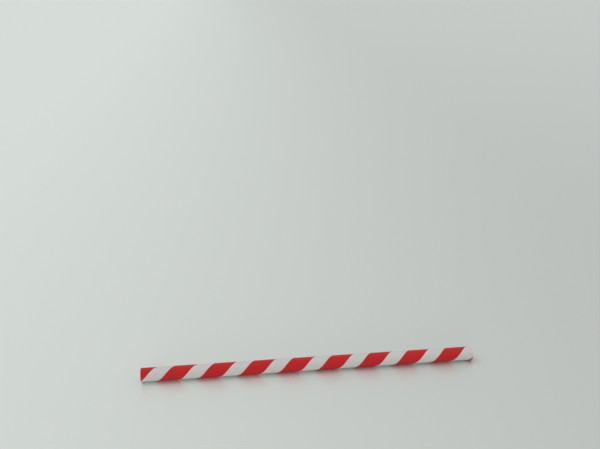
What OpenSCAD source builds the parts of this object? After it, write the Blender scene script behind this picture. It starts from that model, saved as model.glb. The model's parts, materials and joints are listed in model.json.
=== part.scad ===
// Paper drinking straw: one tube of glued paper strips, wound in a spiral and cut square at both ends.
// It lies along X on the plane z = 0, with its middle over the origin. Lengths are in millimetres.

/* [Straw] */
// Length from cut end to cut end
straw_length = 197; // [100:1:260]
// Outside diameter
outer_diameter = 8.0; // [5:0.1:12]
// How far each cut edge is eased, on the outside and in the bore
edge_ease = 0.06; // [0.01:0.01:0.1]
// Depth of the slight flat along the line that the straw lies on
rest_flat = 0.08; // [0.02:0.01:0.1]

/* [Paper] */
// Number of strips glued on top of each other
plies = 3; // [2:1:4]
// Thickness of one strip
ply_thickness = 0.13; // [0.11:0.01:0.18]

/* [Winding] */
// Advance of the winding along the tube in one full turn
winding_lead = 23.1; // [16:0.1:40]
// Which way the strips wind
winding_hand = "left"; // [left, right]

/* [Print] */
// Share of the outer strip that is printed
print_share = 0.556; // [0.2:0.01:0.8]
// Where the band lies: its middle at the -X end, in degrees from the top towards -Y
print_turn = 22; // [0:1:359]
// Bare rim between the band and each eased edge, where cutting rubs the print off
print_rim = 0.1; // [0.05:0.05:1]
// Straight steps that the band's edges take in one turn
print_steps = 12; // [8:1:24]
// Colour of the printed band
print_colour = "#b8232a"; // color
// Colour of the bare paper
paper_colour = "#e4e2dc"; // color

/* [Hidden] */
$fn = 96;

outer_radius = outer_diameter / 2;
wall = plies * ply_thickness;
bore_radius = outer_radius - wall;
// The outer strip reaches down to here
strip_radius = outer_radius - ply_thickness;
print_angle = 360 * print_share;
// Cutting shapes run this far past the surfaces that they cut
cut_over = 0.4;
// Largest angle between two points of a sector's outer side
widest_span = 70;

function direction(angle) = [cos(angle), sin(angle)];

// Section through the tube's wall, with both cut edges eased
module wall_section() {
    polygon([
        [bore_radius + edge_ease, 0],
        [outer_radius - edge_ease, 0],
        [outer_radius, edge_ease],
        [outer_radius, straw_length - edge_ease],
        [outer_radius - edge_ease, straw_length],
        [bore_radius + edge_ease, straw_length],
        [bore_radius, straw_length - edge_ease],
        [bore_radius, edge_ease]
    ]);
}

// The glued strips as one tube, standing on its end
module wound_tube() {
    rotate_extrude()
        wall_section();
}

// Sector that covers a ring between two radii, with its middle on the X axis: its outer side runs straight
// from point to point outside the ring, and its inner side straight across inside it
module ring_sector(inner, outer, angle) {
    spans = ceil(angle / widest_span);
    step = angle / spans;
    outside = outer / cos(step / 2);
    polygon(concat(
        [for (i = [0:spans]) outside * direction(i * step - angle / 2)],
        [inner * direction(angle / 2), inner * direction(-angle / 2)]
    ));
}

// A band that follows the winding from rim to rim. Run on to the tube's lower end, its middle would lie
// over the X axis there
module wound_band(inner, outer, angle) {
    start = edge_ease + print_rim;
    length = straw_length - 2 * start;
    turns = length / winding_lead;
    hand = winding_hand == "left" ? 1 : -1;
    translate([0, 0, start])
        rotate([0, 0, -hand * 360 * start / winding_lead])
            linear_extrude(
                height = length,
                twist = hand * 360 * turns,
                slices = ceil(turns * print_steps),
                segments = 0
            )
                ring_sector(inner, outer, angle);
}

// All that lies under the outer strip
module core() {
    translate([0, 0, -cut_over])
        cylinder(r = strip_radius, h = straw_length + 2 * cut_over);
}

// The printed share of the outer strip
module printed_band() {
    difference() {
        wound_band(bore_radius, outer_radius + cut_over, print_angle);
        core();
    }
}

// Turns what stands on its end as it will lie, and takes the flat off the side that will be its underside
module turned_to_lie() {
    difference() {
        rotate([0, 0, 180 + print_turn])
            children();
        translate([outer_radius - rest_flat, -outer_radius, -cut_over])
            cube([outer_radius, outer_diameter, straw_length + 2 * cut_over]);
    }
}

// The tube in its two colours, which together are one piece, laid down along X
module straw_tube() {
    translate([-straw_length / 2, 0, outer_radius - rest_flat])
        rotate([0, 90, 0]) {
            color(paper_colour)
                turned_to_lie()
                    difference() {
                        wound_tube();
                        printed_band();
                    }
            color(print_colour)
                turned_to_lie()
                    intersection() {
                        wound_tube();
                        printed_band();
                    }
        }
}

straw_tube();
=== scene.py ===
import json
import math

import bmesh
import bpy
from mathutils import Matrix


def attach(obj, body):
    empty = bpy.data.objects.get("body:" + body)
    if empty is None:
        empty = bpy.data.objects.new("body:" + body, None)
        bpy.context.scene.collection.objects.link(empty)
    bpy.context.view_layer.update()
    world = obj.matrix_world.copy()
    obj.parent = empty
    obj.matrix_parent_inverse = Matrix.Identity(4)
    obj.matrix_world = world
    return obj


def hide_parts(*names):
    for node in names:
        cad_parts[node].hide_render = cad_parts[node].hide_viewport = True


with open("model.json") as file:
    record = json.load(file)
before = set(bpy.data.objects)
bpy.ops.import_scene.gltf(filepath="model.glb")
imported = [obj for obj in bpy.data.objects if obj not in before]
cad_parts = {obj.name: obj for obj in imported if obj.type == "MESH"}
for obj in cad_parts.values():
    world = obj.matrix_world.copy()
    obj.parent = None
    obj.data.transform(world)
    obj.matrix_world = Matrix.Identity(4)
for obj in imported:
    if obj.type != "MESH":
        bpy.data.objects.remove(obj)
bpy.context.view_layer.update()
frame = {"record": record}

# The straw: three strips of paper, wound in a left-handed spiral round a mandrel, glued face to face and
# cut to length. Each face is modelled as it is made: a strip's width is swept along the winding, and its
# edges meet in a fine seam. The cut ends join the two faces.
mm = 0.001
mounts = {mount["name"]: mount for mount in frame["record"]["mounts"]}
outer_radius = mounts["outside"]["dims"]["r_mm"] * mm
bore_radius = mounts["bore"]["dims"]["r_mm"] * mm
axis_height = mounts["bore"]["pos_m"][2]
half_length = 197 * mm / 2
edge_ease = 0.06 * mm
plies = 3
ply_thickness = (outer_radius - bore_radius) / plies
winding_lead = 23.1 * mm

# Places round the tube, at its -X end, are counted in turns from +Y over the top
top_phase = 1 / 4
print_turn = 22 / 360
print_phase = top_phase + print_turn
seam_phase = print_phase + 1 / 2
# The seam of each strip lies this far on from that of the strip over it
seam_shift = 1 / 3


def start_on_nothing():
    if bpy.context.object and bpy.context.object.mode != "OBJECT":
        bpy.ops.object.mode_set(mode="OBJECT")
    bpy.ops.object.select_all(action="DESELECT")


def select_points(piece, wanted):
    mesh = bmesh.from_edit_mesh(piece.data)
    for point in mesh.verts:
        point.select = wanted(point.co)
    mesh.select_mode = {"VERT"}
    mesh.select_flush_mode()
    bmesh.update_edit_mesh(piece.data)


def wound_face(name, radius, phase, inwards, hidden_seams):
    """One face of the tube, round the X axis: the strip's width at the top, swept along the winding."""
    steps_per_turn = 64
    width_cuts = 23
    seam_half = 0.06 * mm
    seam_depth = 0.05 * mm
    width = winding_lead - 2 * seam_half
    # The winding starts at the first crossing of the seam over the top that is past the +X end
    end_crossing = winding_lead * (phase - top_phase) - half_length
    seam_x = end_crossing + winding_lead * math.ceil((half_length - end_crossing) / winding_lead)
    turns = math.ceil((seam_x + half_length) / winding_lead) + 1

    # The strip's width is one side of a plane, which loses its other side
    start_on_nothing()
    bpy.ops.mesh.primitive_plane_add(
        size=width, calc_uvs=False, location=(seam_x + winding_lead / 2, width / 2, radius)
    )
    face = bpy.context.object
    face.name = name
    bpy.ops.object.transform_apply(location=True)
    bpy.ops.object.mode_set(mode="EDIT")
    select_points(face, lambda co: co.y > width / 2)
    bpy.ops.mesh.delete(type="VERT")
    bpy.ops.mesh.select_all(action="SELECT")
    bpy.ops.mesh.subdivide(number_cuts=width_cuts)

    # Over a seam of a strip below, the strip sinks a little
    dip_half = 0.5 * mm
    dip_depth = 0.012 * mm
    for share in hidden_seams:
        dip_x = seam_x + share * winding_lead
        select_points(face, lambda co: abs(co.x - dip_x) < dip_half)
        bpy.ops.transform.translate(value=(0, 0, -dip_depth))

    # Each edge of the strip is rounded over in two steps, down to the middle of the seam
    edge_reach = 0.01 * mm
    rounding = ((0.4, 0.2), (0.6, 0.8))
    for edge in (-1, 1):
        edge_x = seam_x + winding_lead / 2 + edge * width / 2
        select_points(face, lambda co: abs(co.x - edge_x) < edge_reach)
        for out, down in rounding:
            step = (edge * out * seam_half, 0, -inwards * down * seam_depth)
            bpy.ops.mesh.extrude_vertices_move(TRANSFORM_OT_translate={"value": step})

    # Winding it up, with a map of the flat strip: U counts the turns along it, and V runs across it
    bpy.ops.object.mode_set(mode="OBJECT")
    face.data.uv_layers.new(name="strip")
    winding = face.modifiers.new("winding", "SCREW")
    winding.axis = "X"
    winding.screw_offset = -winding_lead
    winding.iterations = turns
    winding.steps = steps_per_turn
    winding.render_steps = steps_per_turn
    winding.use_stretch_u = True
    winding.use_stretch_v = True
    bpy.ops.object.modifier_apply(modifier="winding")

    # Each turn's edge is merged with the next one's, in the middle of the seam
    merge_distance = 0.001 * mm
    bpy.ops.object.mode_set(mode="EDIT")
    bpy.ops.mesh.select_all(action="SELECT")
    bpy.ops.mesh.remove_doubles(threshold=merge_distance)
    return face


def cut_ends(rings):
    """Cuts both ends square and turns each rim in, through rings of (radius, distance from the cut end)."""
    cut_tolerance = 0.0001 * mm
    for end in (-1, 1):
        radius, depth = rings[0]
        bpy.ops.mesh.select_all(action="SELECT")
        bpy.ops.mesh.bisect(
            plane_co=(end * (half_length - depth), 0, 0),
            plane_no=(end, 0, 0),
            clear_outer=True,
            threshold=cut_tolerance,
        )
        for next_radius, next_depth in rings[1:]:
            step = (end * (depth - next_depth), 0, 0)
            bpy.ops.mesh.extrude_edges_move(TRANSFORM_OT_translate={"value": step})
            scale = next_radius / radius
            bpy.ops.transform.resize(value=(1, scale, scale), center_override=(0, 0, 0))
            radius, depth = next_radius, next_depth


# The bore's seam goes outwards, into the wall
bore_face = wound_face("bore_face", bore_radius, seam_phase + seam_shift, inwards=-1, hidden_seams=[])
cut_ends([(bore_radius, edge_ease), (bore_radius + edge_ease, 0)])

# The outer strip's seam lies in the middle of the bare band. At the cut ends a fine groove shows where
# one strip ends and the next begins.
straw = wound_face("straw", outer_radius, seam_phase, inwards=1, hidden_seams=[seam_shift, 2 * seam_shift])
groove_half = 0.015 * mm
groove_depth = 0.02 * mm
cut_rings = [(outer_radius, edge_ease), (outer_radius - edge_ease, 0)]
for ply in range(1, plies):
    glue_radius = outer_radius - ply * ply_thickness
    cut_rings += [
        (glue_radius + groove_half, 0),
        (glue_radius, groove_depth),
        (glue_radius - groove_half, 0),
    ]
cut_ends(cut_rings)

# Both faces become one piece, and the open rims at each end are filled
bpy.ops.object.mode_set(mode="OBJECT")
bore_face.select_set(True)
bpy.ops.object.join()
bpy.ops.object.mode_set(mode="EDIT")
bpy.ops.mesh.select_mode(type="EDGE")
for end in (-1, 1):
    bpy.ops.mesh.select_all(action="DESELECT")
    bpy.ops.mesh.select_non_manifold(
        extend=False,
        use_wire=False,
        use_boundary=True,
        use_multi_face=False,
        use_non_contiguous=False,
        use_verts=False,
    )
    mesh = bmesh.from_edit_mesh(straw.data)
    for edge in mesh.edges:
        if edge.select and end * edge.verts[0].co.x < 0:
            edge.select = False
    bmesh.update_edit_mesh(straw.data)
    bpy.ops.mesh.fill(use_beauty=True)

# It lies on the floor, on its slight flat. Only the cut edges and the bottoms of the seams stay sharp.
sharp_angle = math.radians(35)
bpy.ops.mesh.select_mode(type="VERT")
bpy.ops.mesh.select_all(action="SELECT")
bpy.ops.mesh.normals_make_consistent(inside=False)
bpy.ops.transform.translate(value=(0, 0, axis_height))
select_points(straw, lambda co: co.z < 0)
bpy.ops.transform.resize(value=(1, 1, 0), center_override=(0, 0, 0))
bpy.ops.object.mode_set(mode="OBJECT")
bpy.ops.object.shade_smooth_by_angle(angle=sharp_angle)

# What the straw's papers share: fine fibres that run along the strip, over a cloudy ground, and the tooth
# of the paper. The scales are for places in millimetres.
thread_scale = (1.1, 8, 8)
cloud_scale = 0.6
tooth_scale = 14
relief_strength = 0.3
relief_depth = 0.02 * mm
# The sums of threads and cloud at which the paper is darkest and lightest
darkest_sum = 0.7
lightest_sum = 1.3


def add_node(tree, kind, inputs=(), **settings):
    made = tree.nodes.new("ShaderNode" + kind)
    for name, value in settings.items():
        setattr(made, name, value)
    for socket, value in inputs:
        if isinstance(value, bpy.types.NodeSocket):
            tree.links.new(value, made.inputs[socket])
        else:
            made.inputs[socket].default_value = value
    return made


def math_node(tree, operation, *values):
    return add_node(tree, "Math", enumerate(values), operation=operation).outputs[0]


def mixed(tree, share, first, second):
    # A Mix node has sockets of the same names for every type, so those for colours go by number
    return add_node(tree, "Mix", [(0, share), (6, first), (7, second)], data_type="RGBA").outputs[2]


def noise(tree, place, scale, detail):
    inputs = [("Vector", place), ("Scale", scale), ("Detail", detail)]
    return add_node(tree, "TexNoise", inputs).outputs["Fac"]


def ramp(tree, value, low, high, to_low=0, to_high=1):
    return add_node(
        tree,
        "MapRange",
        [("Value", value), ("From Min", low), ("From Max", high), ("To Min", to_low), ("To Max", to_high)],
        interpolation_type="SMOOTHSTEP",
    ).outputs["Result"]


fibres = bpy.data.node_groups.new("paper_fibres", "ShaderNodeTree")
fibres.interface.new_socket("Place", in_out="INPUT", socket_type="NodeSocketVector")
fibres.interface.new_socket("Tone", in_out="OUTPUT", socket_type="NodeSocketFloat")
fibres.interface.new_socket("Height", in_out="OUTPUT", socket_type="NodeSocketFloat")
place = fibres.nodes.new("NodeGroupInput").outputs["Place"]
shown = fibres.nodes.new("NodeGroupOutput").inputs
along = add_node(fibres, "Mapping", [("Vector", place), ("Scale", thread_scale)]).outputs["Vector"]
threads = noise(fibres, along, scale=1, detail=3)
cloud = noise(fibres, place, scale=cloud_scale, detail=2)
tooth = noise(fibres, place, scale=tooth_scale, detail=2)
ground = math_node(fibres, "ADD", threads, cloud)
fibres.links.new(ramp(fibres, ground, darkest_sum, lightest_sum), shown["Tone"])
fibres.links.new(math_node(fibres, "ADD", threads, tooth), shown["Height"])


def paper_material(name, along_strip):
    """A material with the paper's fibres in its bump. Returns its nodes, shader, place and tone."""
    material = bpy.data.materials.new(name)
    material.use_nodes = True
    tree = material.node_tree
    shader = tree.nodes["Principled BSDF"]
    if along_strip:
        turn_length = math.hypot(2 * math.pi * outer_radius, winding_lead)
        place = add_node(tree, "UVMap", uv_map="strip").outputs["UV"]
        scale = (turn_length / mm, winding_lead / mm, 1)
    else:
        place = add_node(tree, "TexCoord").outputs["Object"]
        scale = (1 / mm, 1 / mm, 1 / mm)
    measured = add_node(tree, "Mapping", [("Vector", place), ("Scale", scale)]).outputs["Vector"]
    grain = add_node(tree, "Group", node_tree=fibres)
    tree.links.new(measured, grain.inputs["Place"])
    relief = add_node(
        tree,
        "Bump",
        [("Strength", relief_strength), ("Distance", relief_depth), ("Height", grain.outputs["Height"])],
    )
    tree.links.new(relief.outputs["Normal"], shader.inputs["Normal"])
    straw.data.materials.append(material)
    return tree, shader, place, grain.outputs["Tone"]


bare_dark = (0.657, 0.638, 0.622, 1)
bare_light = (0.697, 0.678, 0.662, 1)

# The outer strip: smooth coated paper with a red band printed along it, a little glossier than the rest.
# Places across the strip are shares of the lead.
print_share = 0.556
ink_dark = (0.55, 0.0125, 0.015, 1)
ink_light = (0.61, 0.0155, 0.018, 1)
ink_roughness = 0.48
bare_roughness = 0.68
uneven_roughness = 0.05
# The seam darkens to this colour: partly the glue in it, partly painted shade in the seam's gap
seam_glue_and_shade = (0.58, 0.57, 0.55, 1)
seam_starts = 0.4968
seam_full = 0.4992
# The print's edges are a little soft, and a noise makes them ragged, from its low to its high values
soft_edge = 0.002
ragged_edge = 0.0015
ragged_scale = (40, 6, 1)
ragged_low = 0.25
ragged_high = 0.75

tree, shader, strip, tone = paper_material("printed_paper", along_strip=True)
across = add_node(tree, "SeparateXYZ", [("Vector", strip)]).outputs["Y"]
from_middle = math_node(tree, "ABSOLUTE", math_node(tree, "SUBTRACT", across, 0.5))
ragged_place = add_node(tree, "Mapping", [("Vector", strip), ("Scale", ragged_scale)]).outputs["Vector"]
ragged = noise(tree, ragged_place, scale=1, detail=2)
wander = ramp(tree, ragged, ragged_low, ragged_high, -ragged_edge, ragged_edge)
print_edge = print_share / 2
from_print = math_node(tree, "ADD", from_middle, wander)
bare = ramp(tree, from_print, print_edge - soft_edge, print_edge + soft_edge)
ink = mixed(tree, tone, ink_dark, ink_light)
strip_colour = mixed(tree, bare, ink, mixed(tree, tone, bare_dark, bare_light))
# Towards the middle of the seam the colour darkens: the glue, and painted shade in the gap
seam_glue_and_shade_mask = ramp(tree, from_middle, seam_starts, seam_full)
tree.links.new(mixed(tree, seam_glue_and_shade_mask, strip_colour, seam_glue_and_shade), shader.inputs["Base Color"])
roughness = ramp(tree, bare, 0, 1, ink_roughness, bare_roughness)
uneven = ramp(tree, tone, 0, 1, -uneven_roughness, uneven_roughness)
tree.links.new(math_node(tree, "ADD", roughness, uneven), shader.inputs["Roughness"])
shader.inputs["Specular IOR Level"].default_value = 0.3

# The bore: the bare side of the inner strip, with no print and no coating
tree, shader, strip, tone = paper_material("bore_paper", along_strip=True)
tree.links.new(mixed(tree, tone, bare_dark, bare_light), shader.inputs["Base Color"])
shader.inputs["Roughness"].default_value = 0.8

# The cut ends: the raw edges of the three strips, with a line of dry glue between each two. Depth counts
# the strips from the outside, and stays half a strip inside the wall, whose faces have no glue.
raw_dark = (0.62, 0.61, 0.58, 1)
glue_colour = (0.42, 0.40, 0.36, 1)
glue_full = 0.06
glue_ends = 0.16

tree, shader, place, tone = paper_material("cut_paper", along_strip=False)
to_axis = [("Vector", place), ("Location", (0, 0, -axis_height)), ("Scale", (0, 1, 1))]
radial = add_node(tree, "Mapping", to_axis).outputs["Vector"]
from_axis = add_node(tree, "VectorMath", [(0, radial)], operation="LENGTH").outputs["Value"]
depth = math_node(tree, "DIVIDE", math_node(tree, "SUBTRACT", outer_radius, from_axis), ply_thickness)
depth = math_node(tree, "MINIMUM", math_node(tree, "MAXIMUM", depth, 0.5), plies - 0.5)
nearest_glue = math_node(tree, "ROUND", depth)
from_glue = math_node(tree, "ABSOLUTE", math_node(tree, "SUBTRACT", depth, nearest_glue))
in_glue = ramp(tree, from_glue, glue_full, glue_ends, 1, 0)
raw = mixed(tree, tone, raw_dark, bare_light)
tree.links.new(mixed(tree, in_glue, raw, glue_colour), shader.inputs["Base Color"])
shader.inputs["Roughness"].default_value = 0.85

printed_index, bore_index, cut_index = range(3)
for face in straw.data.polygons:
    centre = face.center
    if abs(centre.x) > half_length - edge_ease:
        face.material_index = cut_index
    elif math.hypot(centre.y, centre.z - axis_height) < bore_radius + ply_thickness:
        face.material_index = bore_index
    else:
        face.material_index = printed_index

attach(straw, "root")
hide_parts("straw_tube")

# The floor: a pale tabletop with a soft gloss, which shows a blurred reflection of the straw. Its colour
# has painted light, lighter towards the left as if lit from that side, and it reaches the horizon on every
# side.
floor_size = 80
fade_reach = 0.35
painted_lit_left = (0.86, 0.90, 0.865, 1)
painted_dim_right = (0.52, 0.54, 0.525, 1)

start_on_nothing()
bpy.ops.mesh.primitive_plane_add(size=floor_size)
floor = bpy.context.object
floor.name = "floor"
tabletop = bpy.data.materials.new("tabletop")
tabletop.use_nodes = True
tree = tabletop.node_tree
shader = tree.nodes["Principled BSDF"]
place = add_node(tree, "TexCoord").outputs["Object"]
sideways = add_node(tree, "SeparateXYZ", [("Vector", place)]).outputs["X"]
# Painted light: the floor's colour fades from lit at the left to dimmer at the right
painted_light_fade = ramp(tree, sideways, -fade_reach, fade_reach)
tree.links.new(mixed(tree, painted_light_fade, painted_lit_left, painted_dim_right), shader.inputs["Base Color"])
for socket, value in (
    ("Roughness", 0.4),
    ("IOR", 1.8),
    ("Specular IOR Level", 1),
    ("Coat Weight", 1),
    ("Coat Roughness", 0.3),
):
    shader.inputs[socket].default_value = value
floor.data.materials.append(tabletop)

# The light: a pale room all round, which looks a little lighter than it lights, with a wide soft lamp
# high behind the straw and a low one in front. The lamps stay out of reflections.
room_light = (0.48, 0.49, 0.48, 1)
room_look = (0.69, 0.73, 0.70, 1)

scene = bpy.context.scene
room = bpy.data.worlds.new("room")
room.use_nodes = True
tree = room.node_tree
rays = add_node(tree, "LightPath").outputs
seen = math_node(tree, "MAXIMUM", rays["Is Camera Ray"], rays["Is Glossy Ray"])
seen = math_node(tree, "MAXIMUM", seen, rays["Is Transmission Ray"])
tree.links.new(mixed(tree, seen, room_light, room_look), tree.nodes["Background"].inputs["Color"])
scene.world = room

for name, place, spread, strength in (
    ("back_lamp", (-0.37, 0.31, 0.875), 45, 0.92),
    ("front_lamp", (-0.25, -0.96, 0.13), 15, 0.65),
):
    bpy.ops.object.light_add(type="SUN", location=place)
    lamp = bpy.context.object
    lamp.name = name
    lamp.data.angle = math.radians(spread)
    lamp.data.energy = strength
    lamp.rotation_euler = (-lamp.location).to_track_quat("-Z", "Y").to_euler()
    lamp.visible_glossy = False

# The camera: where the straw's outline and stripes fit the photograph. It looks down on the straw, a
# little from the left. Its tilt and its turn are in degrees.
camera_place = (-46.65 * mm, -342.9 * mm, 234.1 * mm)
camera_tilt = 22.19
camera_turn = 6.739

bpy.ops.object.camera_add(
    location=camera_place,
    rotation=(math.radians(90 - camera_tilt), 0, math.radians(-camera_turn)),
)
camera = bpy.context.object
camera.data.sensor_fit = "HORIZONTAL"
camera.data.sensor_width = 36
camera.data.lens = 41.24
camera.data.clip_start = 0.01
scene.camera = camera
scene.view_settings.view_transform = "Standard"
